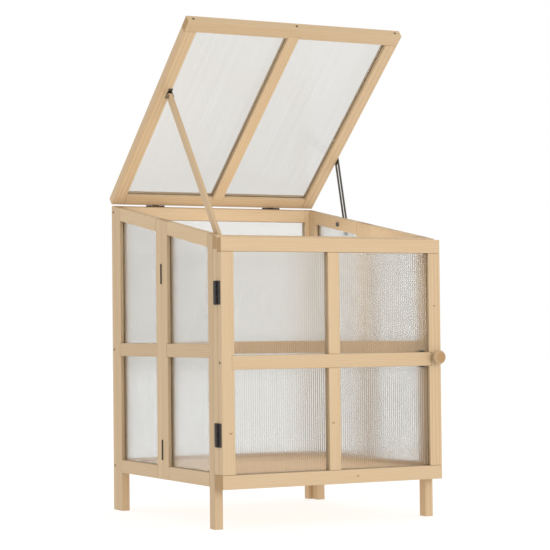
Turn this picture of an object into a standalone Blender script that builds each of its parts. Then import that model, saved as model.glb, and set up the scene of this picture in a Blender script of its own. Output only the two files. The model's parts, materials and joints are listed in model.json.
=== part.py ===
"""Folding cold frame: a battened box on short legs, with a door that fills the front and a hinged lid.

Every frame is made of planed battens that hold twin-wall panes in grooves. The box is laid out from
its left outer side (x), from the face of the door (y) and from the ground (z), and at() moves that
layout so that the origin is on the ground under the middle of the open cold frame. The door, the lid,
its stay and its prop hang from empties that stand on their joints' axes.
"""
import math

import bmesh
import bpy
from mathutils import Matrix, Vector

# Box, in metres
WIDTH = 0.580
DEPTH = 0.630
FRONT_HEIGHT = 0.660
REAR_HEIGHT = 0.768
SKIRT_HEIGHT = 0.0925
SIDE_RAIL_FOOT = 0.0955
SIDE_MID_RAIL_FOOT = 0.3875
DOOR_MID_RAIL_FOOT = 0.361
TOP_RAIL = 0.035

# Battens and panes
BATTEN = 0.032
THICK = 0.021
FRONT_STILE = 0.027
MULLION = 0.030
EASED_EDGE = 0.0013
PANE = 0.004
GROOVE = 0.0035
HOUSING = 0.007
GAP = 0.0003
DOOR_GAP = 0.001

# Lid
LID_OPEN = math.radians(40.2)
LID_LENGTH = 0.6165
LID_SEAT = 0.0006
LID_HINGE_X = (0.123, 0.457)

# Metalwork
LEAF = 0.0015
BARREL = 0.003
LID_HINGE_LONG = 0.050
DOOR_HINGE_LONG = 0.054
HINGE_LEAF_WIDE = 0.0165
DOOR_HINGE_Z = (0.214, 0.535)

# Stay on the right side: lid pivot and clamp bolt are equally far from the hinge axis
STAY_REACH = 0.186
STAY_THICK = 0.002
STAY_WIDE = 0.020
STAY_SLOT = 0.0062
STAY_SLOT_FROM = 0.020
STAY_SLOT_TO = 0.204
STAY_LONG = 0.224
BOLT_ANGLE = math.radians(-15.0)
BOLT = 0.0028
BOLT_HEAD = 0.0060
BOLT_REACH = 0.0193
PIVOT_HEAD = 0.0048
PIVOT_RIM = 0.0009
PIVOT_CROWN = 0.0021
PIN_PLAY = 0.0002
BOLT_EASED = 0.0008
BOLT_DOME = ((-0.0042, 0.0030), (-0.0036, 0.0052), (-0.0012, BOLT_HEAD))
NUT_PROFILE = ((0, 0.0085), (0.0012, 0.0085), (0.0014, 0.0062), (0.0080, 0.0050), (0.0084, 0.0044))
KNOB_PROFILE = ((0, 0.52), (0.22, 0.46), (0.39, 0.62), (0.52, 0.90), (0.65, 1), (0.78, 0.93),
                (0.90, 0.68), (1, 0.25))
TO_RIGHT = (0, math.pi / 2, 0)
TO_FRONT = (math.pi / 2, 0, 0)
WING_REACH = 0.0225
WING_SPAN = 0.010
WING_WIDE = 0.015
WING_THICK = 0.0028
WING_RAKE = 0.0065

# Prop inside the left side
PROP_ALONG = 0.392
PROP_DROP = 0.012
PROP_X = (0.0225, 0.0315)
PROP_WIDE = 0.018
PROP_FOOT = (0.060, 0.656)
BRACKET = 0.0012
BRACKET_LONG = 0.032
BRACKET_CHEEK = 0.016

# Knob, floor
KNOB_Z = 0.381
KNOB = 0.017
KNOB_LONG = 0.027
FLOOR = 0.008
FLOOR_TOP = 0.118
FLOOR_REBATE = 0.006

# Play between moving pieces, and how far a cutter runs past what it cuts
BARREL_OUT = 0.0015
HINGE_PLAY = 0.0006
OVERRUN = 0.002

# Derived places
SLOPE = (REAR_HEIGHT - FRONT_HEIGHT) / DEPTH
CLOSED = math.atan(SLOPE)
FRAME_Y = THICK + DOOR_GAP
SIDE_Y = FRAME_Y + THICK + GAP
REAR_Y = DEPTH - THICK
SEAM_Y = (SIDE_Y + REAR_Y - GAP) / 2
AXIS_Y = DEPTH + GAP + LEAF + BARREL_OUT
AXIS_Z = REAR_HEIGHT + HINGE_PLAY
DOOR_AXIS_X = -GAP - LEAF - BARREL_OUT
DOOR_AXIS_Y = FRAME_Y - DOOR_GAP / 2
STAY_X = WIDTH + 2 * HINGE_PLAY
KNUCKLE_REACH = -DOOR_AXIS_X + BARREL
KNOB_REACH = KNOB_LONG + GAP
LID_BACK = AXIS_Y - DEPTH
LID_REACH = AXIS_Y - LID_BACK * math.cos(LID_OPEN) + (LID_SEAT + THICK) * math.sin(LID_OPEN)
EASED_OFF = EASED_EDGE * (math.cos(LID_OPEN) + math.sin(LID_OPEN) - 1)
ORIGIN_X = (WIDTH + WING_REACH - KNUCKLE_REACH) / 2
ORIGIN_Y = (LID_REACH - EASED_OFF - KNOB_REACH) / 2

WOOD = (0.62, 0.42, 0.22, 1.0)
PLY = (0.56, 0.40, 0.24, 1.0)
CLEAR = (0.80, 0.82, 0.80, 1.0)
BLACK = (0.02, 0.018, 0.018, 1.0)
STEEL = (0.55, 0.55, 0.56, 1.0)
DARK_STEEL = (0.10, 0.10, 0.10, 1.0)

for old in list(bpy.data.objects):
    bpy.data.objects.remove(old, do_unlink=True)


def collection(name):
    made = bpy.data.collections.get(name) or bpy.data.collections.new(name)
    if made.name not in bpy.context.scene.collection.children:
        bpy.context.scene.collection.children.link(made)
    return made


PARTS = collection("cold_frame")
CUTTERS = collection("cutters")


def at(x, y, z):
    """World place of a point of the layout."""
    return Vector((x - ORIGIN_X, y - ORIGIN_Y, z))


def roof(y):
    """Height of the sloping top at depth y of the layout."""
    return FRONT_HEIGHT + SLOPE * y


def material(name, colour, rough, metal=0.0, clear=0.0):
    made = bpy.data.materials.get(name) or bpy.data.materials.new(name)
    made.use_nodes = True
    shader = made.node_tree.nodes["Principled BSDF"]
    shader.inputs["Base Color"].default_value = colour
    shader.inputs["Roughness"].default_value = rough
    shader.inputs["Metallic"].default_value = metal
    shader.inputs["Transmission Weight"].default_value = clear
    return made


def add(name, bm, finish, parent=None, where=PARTS):
    """Object from a bmesh, in its own frame, under a parent if it has one."""
    bmesh.ops.recalc_face_normals(bm, faces=bm.faces)
    mesh = bpy.data.meshes.new(name)
    bm.to_mesh(mesh)
    bm.free()
    made = bpy.data.objects.new(name, mesh)
    where.objects.link(made)
    made.parent = parent
    if finish is not None:
        mesh.materials.append(material(name + "_finish", *finish))
    return made


def cutter(name, bm, parent=None):
    made = add(name, bm, None, parent, CUTTERS)
    made.hide_render = True
    made.display_type = "WIRE"
    return made


def boolean(target, tool, operation="DIFFERENCE"):
    step = target.modifiers.new(operation.lower(), "BOOLEAN")
    step.operation = operation
    step.solver = "EXACT"
    step.object = tool


def ease(target, width=EASED_EDGE, segments=2):
    """Plane the sharp corners off a batten."""
    step = target.modifiers.new("eased", "BEVEL")
    step.width = width
    step.segments = segments
    step.limit_method = "ANGLE"
    step.angle_limit = math.radians(30)


def block(bm, low, high, drops=(None, None)):
    """Box between two corners; drops put its foot or top that far below the sloping roof."""
    low = Vector(low)
    high = Vector(high)
    size = high - low
    verts = bmesh.ops.create_cube(bm, size=1.0)["verts"]
    for vert in verts:
        is_top = vert.co.z > 0
        vert.co = low + Vector([size[i] * (vert.co[i] + 0.5) for i in range(3)])
        drop = drops[1] if is_top else drops[0]
        if drop is not None:
            vert.co.z = roof(vert.co.y) - drop
    return verts


def box(name, low, high, finish, drops=(None, None), moved=True, parent=None):
    """One batten, with its object's origin at the low corner."""
    bm = bmesh.new()
    block(bm, low, high, drops)
    origin = Vector(low)
    bmesh.ops.translate(bm, verts=bm.verts, vec=-origin)
    made = add(name, bm, finish, parent)
    made.location = at(*origin) if moved else origin
    ease(made)
    return made


def rod(bm, start, axis, long, radius=BOLT + GAP, sides=16):
    """Cylinder from a start point along an axis; the usual radius is a hole that clears the bolt."""
    turn = Vector((0, 0, 1)).rotation_difference(Vector(axis)).to_matrix().to_4x4()
    place = Matrix.Translation(start) @ turn @ Matrix.Translation((0, 0, long / 2))
    bmesh.ops.create_cone(bm, cap_ends=True, segments=sides, radius1=radius, radius2=radius,
                          depth=long, matrix=place)


def turned(name, rings, finish, parent, turn, sides=16, where=PARTS):
    """Turned piece: its half profile, (distance along the axis, radius), swept round by a Screw."""
    ends = ((rings[0][0], 0), *rings, (rings[-1][0], 0))
    bm = bmesh.new()
    verts = [bm.verts.new((radius, 0, distance)) for distance, radius in reversed(ends)]
    for first, second in zip(verts, verts[1:]):
        bm.edges.new((first, second))
    made = add(name, bm, finish, parent, where)
    made.rotation_euler = turn
    sweep = made.modifiers.new("sweep", "SCREW")
    sweep.angle = 2 * math.pi
    sweep.steps = sides
    sweep.render_steps = sides
    sweep.use_merge_vertices = True
    sweep.merge_threshold = GAP / 10
    return made


WOODEN = (WOOD, 0.6)
GLAZING = (CLEAR, 0.25, 0.0, 0.6)
IRON = (BLACK, 0.45, 0.3)
BRIGHT = (STEEL, 0.3, 1.0)


class Frame:
    """A battened frame. Its sheets sit in grooves in the outer battens and pass through slots in the
    bars that cross them, whose ends are housed in the outer battens."""

    def __init__(self, name, moved=True, parent=None):
        self.name = name
        self.moved = moved
        self.parent = parent
        self.outer = []
        self.bars = []
        self.sheets = []
        self.grooves = bmesh.new()
        self.housings = bmesh.new()

    def batten(self, name, low, high, drops=(None, None)):
        self.outer.append(box(name, low, high, WOODEN, drops, self.moved, self.parent))

    def bar(self, name, low, high, along):
        """Crossing bar from face to face of the outer battens; along is its long axis."""
        low = list(low)
        high = list(high)
        low[along] -= HOUSING - GAP
        high[along] += HOUSING - GAP
        self.bars.append(box(name, low, high, WOODEN, (None, None), self.moved, self.parent))
        block(self.housings, [value - GAP for value in low], [value + GAP for value in high])

    def sheet(self, name, low, high, thin, drops=(None, None)):
        """Sheet over the opening from low to high, let into the grooves; thin is its thin axis."""
        middle = (low[thin] + high[thin]) / 2
        solid = bmesh.new()
        sizes = ((solid, GROOVE - GAP, PANE / 2), (self.grooves, GROOVE, PANE / 2 + GAP))
        for bm, inset, half in sizes:
            grown_low = [value - inset for value in low]
            grown_high = [value + inset for value in high]
            grown_low[thin] = middle - half
            grown_high[thin] = middle + half
            grown = tuple(None if drop is None else drop - inset for drop in drops)
            block(bm, grown_low, grown_high, grown)
        made = add(name, solid, GLAZING, self.parent)
        made.location = self.shift()

    def shift(self):
        return at(0, 0, 0) if self.moved else Vector((0, 0, 0))

    def finish(self):
        grooves = cutter(self.name + "_grooves", self.grooves, self.parent)
        housings = cutter(self.name + "_housings", self.housings, self.parent)
        grooves.location = self.shift()
        housings.location = self.shift()
        for made in self.outer + self.bars:
            boolean(made, grooves)
        for made in self.outer:
            boolean(made, housings)


def rear_frame():
    frame = Frame("rear_frame")
    left = BATTEN
    right = WIDTH - BATTEN
    frame.batten("rear_left_stile", (0, REAR_Y, 0), (left, DEPTH, 1), (None, 0))
    frame.batten("rear_right_stile", (right, REAR_Y, 0), (WIDTH, DEPTH, 1), (None, 0))
    inner = (left + GAP, right - GAP)
    top_foot = REAR_HEIGHT - TOP_RAIL
    foot = SIDE_RAIL_FOOT
    mid = SIDE_MID_RAIL_FOOT
    frame.batten("rear_top_rail", (inner[0], REAR_Y, top_foot), (inner[1], DEPTH, 1), (None, 0))
    frame.batten("rear_bottom_rail", (inner[0], REAR_Y, foot), (inner[1], DEPTH, foot + BATTEN))
    frame.bar("rear_mid_rail", (left, REAR_Y, mid), (right, DEPTH, mid + BATTEN), 0)
    frame.sheet("rear_pane", (left, REAR_Y, foot + BATTEN), (right, DEPTH, top_foot), 1)
    frame.finish()


def front_frame():
    """Fixed frame that the door closes against: one glued ring of battens."""
    back = FRAME_Y + THICK
    bm = bmesh.new()
    block(bm, (0, FRAME_Y, SKIRT_HEIGHT), (WIDTH, back, 1), (None, 0))
    ring = add("front_frame", bm, WOODEN)
    ring.location = at(0, 0, 0)
    hole = bmesh.new()
    low = (BATTEN, FRAME_Y - BATTEN, SKIRT_HEIGHT + BATTEN)
    block(hole, low, (WIDTH - BATTEN, back + BATTEN, FRONT_HEIGHT - BATTEN))
    tool = cutter("front_opening", hole)
    tool.location = at(0, 0, 0)
    boolean(ring, tool)
    ease(ring)


def side(name, x):
    """One side: two half frames that meet at the seam, each with two stiles and three rails."""
    far_x = x + THICK
    floor_tool = bpy.data.objects["floor_rebate"]
    halves = (("front", SIDE_Y, SEAM_Y - GAP / 2, FRONT_STILE, BATTEN, 0.0, SIDE_RAIL_FOOT),
              ("rear", SEAM_Y + GAP / 2, REAR_Y - GAP, BATTEN, BATTEN, SIDE_RAIL_FOOT, 0.0))
    for half, near, far, near_wide, far_wide, near_foot, far_foot in halves:
        title = name + "_" + half
        frame = Frame(title)
        inner = (near + near_wide, far - far_wide)
        frame.batten(title + "_near_stile", (x, near, near_foot), (far_x, inner[0], 1), (None, 0))
        frame.batten(title + "_far_stile", (x, inner[1], far_foot), (far_x, far, 1), (None, 0))
        foot = SIDE_RAIL_FOOT
        mid = SIDE_MID_RAIL_FOOT
        ends = (inner[0] + GAP, inner[1] - GAP)
        deep = BATTEN / math.cos(CLOSED)
        frame.batten(title + "_bottom_rail", (x, ends[0], foot), (far_x, ends[1], foot + BATTEN))
        boolean(frame.outer[-1], floor_tool)
        frame.batten(title + "_top_rail", (x, ends[0], 0), (far_x, ends[1], 1), (deep, 0))
        if (name, half) == ("right", "rear"):
            boolean(frame.outer[-1], bpy.data.objects["bolt_hole"])
        frame.bar(title + "_mid_rail", (x, inner[0], mid), (far_x, inner[1], mid + BATTEN), 1)
        frame.sheet(title + "_pane", (x, inner[0], foot + BATTEN), (far_x, inner[1], 1), 0, (None, deep))
        frame.finish()


def door():
    """The door fills the whole front; its parts hang from an empty on the hinge axis."""
    pivot = bpy.data.objects.new("door_axis", None)
    PARTS.objects.link(pivot)
    pivot.location = at(DOOR_AXIS_X, DOOR_AXIS_Y, 0)
    shift = Vector((-DOOR_AXIS_X, -DOOR_AXIS_Y, 0))

    def local(x, y, z):
        return Vector((x, y, z)) + shift

    frame = Frame("door", moved=False, parent=pivot)
    low = SKIRT_HEIGHT
    top_foot = FRONT_HEIGHT - BATTEN
    inner = (BATTEN, WIDTH - BATTEN)
    middle = (WIDTH / 2 - MULLION / 2, WIDTH / 2 + MULLION / 2)
    frame.batten("door_bottom_rail", local(0, 0, low), local(WIDTH, THICK, low + BATTEN))
    frame.batten("door_top_rail", local(0, 0, top_foot), local(WIDTH, THICK, FRONT_HEIGHT))
    ends = (low + BATTEN + GAP, top_foot - GAP)
    frame.batten("door_left_stile", local(0, 0, ends[0]), local(BATTEN, THICK, ends[1]))
    frame.batten("door_right_stile", local(inner[1], 0, ends[0]), local(WIDTH, THICK, ends[1]))
    foot = DOOR_MID_RAIL_FOOT
    frame.bar("door_cross", local(inner[0], 0, foot), local(inner[1], THICK, foot + BATTEN), 0)
    cross = frame.bars[-1]
    upright = bmesh.new()
    block(upright, local(middle[0], 0, ends[0]), local(middle[1], THICK, ends[1]))
    tool = cutter("door_mullion", upright, pivot)
    ease(tool)
    boolean(cross, tool, "UNION")
    bays = (("door_left_pane", inner[0], middle[0]), ("door_right_pane", middle[1], inner[1]))
    for title, near, far in bays:
        frame.sheet(title, local(near, 0, low + BATTEN), local(far, THICK, top_foot), 1)
    frame.finish()

    rings = [(KNOB_LONG * out, KNOB * share) for out, share in KNOB_PROFILE]
    knob = turned("door_knob", rings, WOODEN, pivot, TO_FRONT, 32)
    knob.location = local(WIDTH - BATTEN / 2, -GAP, KNOB_Z)

    for number, z in enumerate(DOOR_HINGE_Z):
        label = ("lower", "upper")[number]
        where = Vector((0, 0, z - DOOR_HINGE_LONG / 2))
        place = at(DOOR_AXIS_X, DOOR_AXIS_Y, 0)
        hinge("door_" + label + "_hinge", pivot, place, where, DOOR_HINGE_LONG, "door")


def hinge(name, moving, fixed_place, where, long, kind):
    """Butt hinge in two solids: the moving leaf keeps the middle barrel, the other leaf the ends.

    In the hinge's own frame the barrel runs along Z from the origin and the leaves lie along Y.
    """
    third = long / 3
    turn = Matrix.Identity(4)
    if kind == "lid":
        turn = Matrix(((0, 0, 1), (-1, 0, 0), (0, -1, 0))).to_4x4()
    place = Matrix.Translation(where) @ turn
    reach = BARREL + 2 * GAP
    for suffix, sign, parent in (("_leaf", -1, moving), ("_frame_leaf", 1, None)):
        plate = bmesh.new()
        wide = sorted((sign * HINGE_PLAY, sign * HINGE_LEAF_WIDE))
        block(plate, (BARREL_OUT, wide[0], 0), (BARREL_OUT + LEAF, wide[1], long))
        slots = bmesh.new()
        if sign < 0:
            gaps = ((-OVERRUN, third), (2 * third, long + OVERRUN))
            barrels = ((third, 2 * third),)
        else:
            gaps = ((third - GAP, 2 * third + GAP),)
            barrels = ((0, third - GAP), (2 * third + GAP, long))
        for start, end in gaps:
            block(slots, (-reach, -reach, start), (reach + OVERRUN, reach, end))
        round_parts = bmesh.new()
        for start, end in barrels:
            rod(round_parts, Vector((0, 0, start)), (0, 0, 1), end - start, BARREL)
        for bm in (plate, slots, round_parts):
            bmesh.ops.transform(bm, matrix=place, verts=bm.verts)
        made = add(name + suffix, plate, IRON, parent)
        slot_tool = cutter(name + suffix + "_slots", slots, parent)
        barrel_tool = cutter(name + suffix + "_barrels", round_parts, parent)
        for item in (made, slot_tool, barrel_tool):
            item.location = (0, 0, 0) if parent else fixed_place
        boolean(made, slot_tool)
        boolean(made, barrel_tool, "UNION")


def lid_point(along, up):
    """World place, in the box's layout, of a point of the open lid."""
    y = AXIS_Y - along * math.cos(LID_OPEN) + up * math.sin(LID_OPEN)
    z = AXIS_Z + along * math.sin(LID_OPEN) + up * math.cos(LID_OPEN)
    return y, z


def bolt_place():
    """The clamp bolt is as far from the hinge axis as the stay's pivot."""
    y = AXIS_Y - STAY_REACH * math.cos(BOLT_ANGLE)
    z = AXIS_Z + STAY_REACH * math.sin(BOLT_ANGLE)
    return y, z


def lid():
    """The lid lies along -Y of its own empty, which is turned up by the opening angle."""
    pivot = bpy.data.objects.new("lid_axis", None)
    PARTS.objects.link(pivot)
    pivot.location = at(0, AXIS_Y, AXIS_Z)
    pivot.rotation_euler = (-LID_OPEN, 0, 0)
    frame = Frame("lid", moved=False, parent=pivot)
    back = -LID_BACK
    front = back - LID_LENGTH
    foot = LID_SEAT
    head = LID_SEAT + THICK
    frame.batten("lid_front_rail", (0, front, foot), (WIDTH, front + BATTEN, head))
    side_ends = (front + BATTEN + GAP, back)
    frame.batten("lid_left_rail", (0, side_ends[0], foot), (BATTEN, back, head))
    frame.batten("lid_right_rail", (WIDTH - BATTEN, side_ends[0], foot), (WIDTH, back, head))
    frame.batten("lid_rear_rail", (BATTEN + GAP, back - BATTEN, foot), (WIDTH - BATTEN - GAP, back, head))
    middle = (WIDTH / 2 - MULLION / 2, WIDTH / 2 + MULLION / 2)
    bay = (front + BATTEN, back - BATTEN)
    frame.bar("lid_mullion", (middle[0], bay[0], foot), (middle[1], bay[1], head), 1)
    frame.sheet("lid_pane", (BATTEN, bay[0], foot), (WIDTH - BATTEN, bay[1], head), 2)
    frame.finish()
    for number, x in enumerate(LID_HINGE_X):
        label = ("left", "right")[number]
        where = Vector((x - LID_HINGE_LONG / 2, 0, 0))
        hinge("lid_" + label + "_hinge", pivot, at(0, AXIS_Y, AXIS_Z), where, LID_HINGE_LONG, "lid")
    stay(pivot)
    prop(pivot)


def stadium(bm, start, end, radius, low_x, high_x, sides=12):
    """Flat bar with round ends, lying along local -Z from start to end."""
    outline = []
    for centre, first in ((-start, 0.0), (-end, math.pi)):
        for step in range(sides + 1):
            angle = first + math.pi * step / sides
            y = radius * math.cos(angle)
            outline.append(bm.verts.new((low_x, y, centre + radius * math.sin(angle))))
    face = bm.faces.new(outline)
    grown = bmesh.ops.extrude_face_region(bm, geom=[face])["geom"]
    verts = [item for item in grown if isinstance(item, bmesh.types.BMVert)]
    bmesh.ops.translate(bm, verts=verts, vec=(high_x - low_x, 0, 0))
    bmesh.ops.recalc_face_normals(bm, faces=bm.faces)


def stay(pivot):
    """Slotted stay: pinned to the lid's right rail, clamped by a wing nut on the bolt."""
    up = LID_SEAT + THICK / 2
    along = math.sqrt(STAY_REACH ** 2 - up ** 2)
    pin_y, pin_z = lid_point(along, up)
    bolt_y, bolt_z = bolt_place()
    lean = math.atan2(bolt_y - pin_y, pin_z - bolt_z)
    hanger = bpy.data.objects.new("stay_axis", None)
    PARTS.objects.link(hanger)
    hanger.location = at(0, pin_y, pin_z)
    hanger.rotation_euler = (lean, 0, 0)
    bm = bmesh.new()
    stadium(bm, 0, STAY_LONG - STAY_WIDE, STAY_WIDE / 2, STAY_X, STAY_X + STAY_THICK)
    bar = add("stay", bm, (DARK_STEEL, 0.4, 0.8), hanger)
    cuts = bmesh.new()
    cut_x = (STAY_X - OVERRUN, STAY_X + STAY_THICK + OVERRUN)
    stadium(cuts, STAY_SLOT_FROM, STAY_SLOT_TO, STAY_SLOT / 2, *cut_x)
    rod(cuts, Vector((cut_x[0], 0, 0)), (1, 0, 0), cut_x[1] - cut_x[0])
    boolean(bar, cutter("stay_cuts", cuts, hanger))

    near = WIDTH + GAP
    head = STAY_X + STAY_THICK + GAP - near
    rings = ((0, BOLT), (head, BOLT), (head + GAP, PIVOT_HEAD), (head + PIVOT_RIM, PIVOT_HEAD),
             (head + PIVOT_CROWN, BOLT))
    screw = turned("stay_pivot_screw", rings, BRIGHT, pivot, TO_RIGHT)
    screw.location = (near, -along, up)

    inner = WIDTH - THICK - GAP
    tip = WIDTH + BOLT_REACH - inner
    rings = (*BOLT_DOME, (0, BOLT_HEAD), (0, BOLT), (tip - BOLT_EASED, BOLT), (tip, BOLT - BOLT_EASED))
    bolt = turned("stay_bolt", rings, (DARK_STEEL, 0.4, 0.8), None, TO_RIGHT)
    bolt.location = at(inner, bolt_y, bolt_z)
    wing_nut(bolt_y, bolt_z)


def wing_nut(y, z):
    """Wing nut with a washer face against the stay."""
    spinner = bpy.data.objects.new("wing_nut_axis", None)
    PARTS.objects.link(spinner)
    spinner.location = at(0, y, z)
    start = STAY_X + STAY_THICK + GAP
    made = turned("wing_nut", NUT_PROFILE, (BLACK, 0.5), spinner, TO_RIGHT, 20)
    made.location.x = start
    wings = bmesh.new()
    tip = WIDTH + WING_REACH
    for sign in (-1, 1):
        middle = sign * WING_SPAN
        low = (start + 0.002, middle - WING_WIDE / 2, -WING_THICK / 2)
        verts = block(wings, low, (tip - WING_RAKE, middle + WING_WIDE / 2, WING_THICK / 2))
        for vert in verts:
            if vert.co.y * sign > WING_SPAN:
                vert.co.x += WING_RAKE if vert.co.x > start + WING_RAKE else WING_RAKE * 0.8
    tool = cutter("wing_nut_wings", wings, spinner)
    boolean(made, tool, "UNION")
    bores = bmesh.new()
    rod(bores, Vector((start - OVERRUN, 0, 0)), (1, 0, 0), tip - start + 2 * OVERRUN)
    boolean(made, cutter("wing_nut_bore", bores, spinner))


def prop(pivot):
    """Prop stick: pinned to a bracket under the lid's left rail, with its foot in the front corner."""
    pin_y, pin_z = lid_point(PROP_ALONG, -PROP_DROP)
    lean = math.atan2(PROP_FOOT[0] - pin_y, pin_z - PROP_FOOT[1])
    length = math.hypot(PROP_FOOT[0] - pin_y, pin_z - PROP_FOOT[1])
    hanger = bpy.data.objects.new("prop_axis", None)
    PARTS.objects.link(hanger)
    hanger.location = at(0, pin_y, pin_z)
    hanger.rotation_euler = (lean, 0, 0)
    half = PROP_WIDE / 2
    bm = bmesh.new()
    stadium(bm, 0, length - half, half, PROP_X[0], PROP_X[1])
    stick = add("prop", bm, WOODEN, hanger)
    ease(stick, 0.0008, 1)
    cuts = bmesh.new()
    rod(cuts, Vector((PROP_X[0] - OVERRUN, 0, 0)), (1, 0, 0), PROP_X[1] - PROP_X[0] + 2 * OVERRUN)
    boolean(stick, cutter("prop_cuts", cuts, hanger))

    bm = bmesh.new()
    top = LID_SEAT - GAP
    outer = PROP_X[1] + HINGE_PLAY + BRACKET
    half = BRACKET_LONG / 2
    block(bm, (PROP_X[0], -PROP_ALONG - half, top - BRACKET), (outer, -PROP_ALONG + half, top))
    cheek = bmesh.new()
    half = BRACKET_CHEEK / 2
    low = (outer - BRACKET, -PROP_ALONG - half, -PROP_DROP - half)
    block(cheek, low, (outer, -PROP_ALONG + half, top - BRACKET / 3))
    head = PROP_X[0] - BRACKET
    neck = BRACKET - GAP
    pin = BOLT - PIN_PLAY
    rings = ((0, PIVOT_HEAD), (neck, PIVOT_HEAD), (neck, pin), (outer + HINGE_PLAY - head, pin))
    pins = turned("prop_pin", rings, None, pivot, TO_RIGHT, where=CUTTERS)
    pins.location = (head, -PROP_ALONG, -PROP_DROP)
    pins.hide_render = True
    pins.display_type = "WIRE"
    made = add("prop_bracket", bm, BRIGHT, pivot)
    boolean(made, cutter("prop_cheek", cheek, pivot), "UNION")
    boolean(made, pins, "UNION")


def shared_cutters():
    """Rebate for the floor board in the side rails, and the hole for the clamp bolt."""
    bm = bmesh.new()
    low = (THICK - FLOOR_REBATE, SIDE_Y - BATTEN, FLOOR_TOP - FLOOR - GAP)
    block(bm, low, (WIDTH - THICK + FLOOR_REBATE, REAR_Y + BATTEN, FLOOR_TOP + GAP))
    cutter("floor_rebate", bm).location = at(0, 0, 0)
    bolt_y, bolt_z = bolt_place()
    bm = bmesh.new()
    start = Vector((WIDTH - THICK - OVERRUN, bolt_y, bolt_z))
    rod(bm, start, (1, 0, 0), THICK + 2 * OVERRUN)
    cutter("bolt_hole", bm).location = at(0, 0, 0)


def floor():
    """Floor board between the side walls; tongues on its edges lie in the rebates of the side rails."""
    foot = FLOOR_TOP - FLOOR
    bm = bmesh.new()
    block(bm, (THICK + GAP, SIDE_Y + GAP, foot), (WIDTH - THICK - GAP, REAR_Y - GAP, FLOOR_TOP))
    board = add("floor_board", bm, (PLY, 0.7))
    board.location = at(0, 0, 0)
    tongues = bmesh.new()
    reach = FLOOR_REBATE - GAP
    half = GAP / 2 + BATTEN
    for near, far in ((SIDE_Y + FRONT_STILE, SEAM_Y - half), (SEAM_Y + half, REAR_Y - GAP - BATTEN)):
        low = (THICK - reach, near + BARREL, foot)
        block(tongues, low, (WIDTH - THICK + reach, far - BARREL, FLOOR_TOP))
    tool = cutter("floor_tongues", tongues)
    tool.location = at(0, 0, 0)
    boolean(board, tool, "UNION")


shared_cutters()
rear_frame()
front_frame()
side("left", 0)
side("right", WIDTH - THICK)
floor()
door()
lid()
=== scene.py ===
# %% [markdown]
# # A wooden cold frame with its lid open
# The real thing is a small box of planed fir battens. Clear twin-wall sheets fill the frames, a door
# takes the whole front, and the lid stands open on a slotted stay and a prop stick. The measured frame
# is loaded first. Every piece made here takes its place from that frame, and nothing in it is moved.

# %% Load the measured frame
import json
import math
import random

import bmesh
import bpy
from mathutils import Matrix, Quaternion, Vector


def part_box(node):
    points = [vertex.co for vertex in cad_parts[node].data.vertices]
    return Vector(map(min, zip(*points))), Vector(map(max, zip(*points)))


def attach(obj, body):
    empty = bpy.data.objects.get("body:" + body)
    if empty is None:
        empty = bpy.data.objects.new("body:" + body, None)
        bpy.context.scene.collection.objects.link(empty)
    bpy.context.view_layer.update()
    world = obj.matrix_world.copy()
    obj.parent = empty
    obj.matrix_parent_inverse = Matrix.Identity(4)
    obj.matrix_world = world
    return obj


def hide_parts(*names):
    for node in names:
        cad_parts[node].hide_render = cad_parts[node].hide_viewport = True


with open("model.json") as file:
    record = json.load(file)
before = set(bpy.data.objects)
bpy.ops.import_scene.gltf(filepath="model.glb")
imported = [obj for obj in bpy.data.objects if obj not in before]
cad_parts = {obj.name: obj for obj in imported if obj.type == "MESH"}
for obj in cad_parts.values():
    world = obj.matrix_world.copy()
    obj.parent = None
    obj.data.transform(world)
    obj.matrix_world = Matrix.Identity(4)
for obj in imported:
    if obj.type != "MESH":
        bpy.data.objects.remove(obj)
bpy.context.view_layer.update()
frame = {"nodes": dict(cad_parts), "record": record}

joint_place = {joint["name"]: Vector(joint["pos_m"]) for joint in frame["record"]["behaviour"]["joints"]}
print("frame:", len(frame["nodes"]), "parts, joints", sorted(joint_place))

# %% [markdown]
# ## Landmarks
# The ring behind the door and the posts at the back give the outer faces of the box. The lid is laid
# out flat in its own frame, along -Y from the hinge axis, and LID_PLACE turns it up to where it stands.

# %% Landmarks
MM = 0.001


def corners(node):
    low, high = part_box(node)
    return Vector(low), Vector(high)


def middle(node):
    low, high = corners(node)
    return (low + high) / 2


ring_low, ring_high = corners("front_frame")
LEFT, RIGHT = ring_low.x, ring_high.x
LID_OPEN = math.radians(40.2)
LID_PLACE = Matrix.Translation(joint_place["lid_hinge"]) @ Matrix.Rotation(-LID_OPEN, 4, "X")
rear_top = corners("rear_left_stile")[1]
near_top = corners("left_front_near_stile")[1]
SLOPE = (rear_top.z - near_top.z) / (rear_top.y - near_top.y)
print(f"box {RIGHT - LEFT:.3f} m wide, roof slope {math.degrees(math.atan(SLOPE)):.1f} degrees")

# %% [markdown]
# ## The camera
# A long lens from well back keeps the uprights nearly parallel. It stands to the left of the front, a
# little below the middle of the lid, and looks very slightly up.

# %% Camera
CAMERA_PLACE = (-2.1832, -4.1750, 0.4569)
CAMERA_AIM = (0.4632, 0.8859, 0.0270)
CAMERA_ROLL = math.radians(-0.58)
LENS = 125.5
SENSOR = 36.0

camera_data = bpy.data.cameras.new("camera")
camera_data.lens = LENS
camera_data.sensor_width = SENSOR
camera = bpy.data.objects.new("camera", camera_data)
camera.location = CAMERA_PLACE
aim = Vector(CAMERA_AIM).to_track_quat("-Z", "Y")
camera.rotation_mode = "QUATERNION"
camera.rotation_quaternion = aim @ Quaternion((0, 0, 1), CAMERA_ROLL)
bpy.context.scene.collection.objects.link(camera)
bpy.context.scene.camera = camera
print("camera:", [round(value, 3) for value in camera.location])

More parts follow.
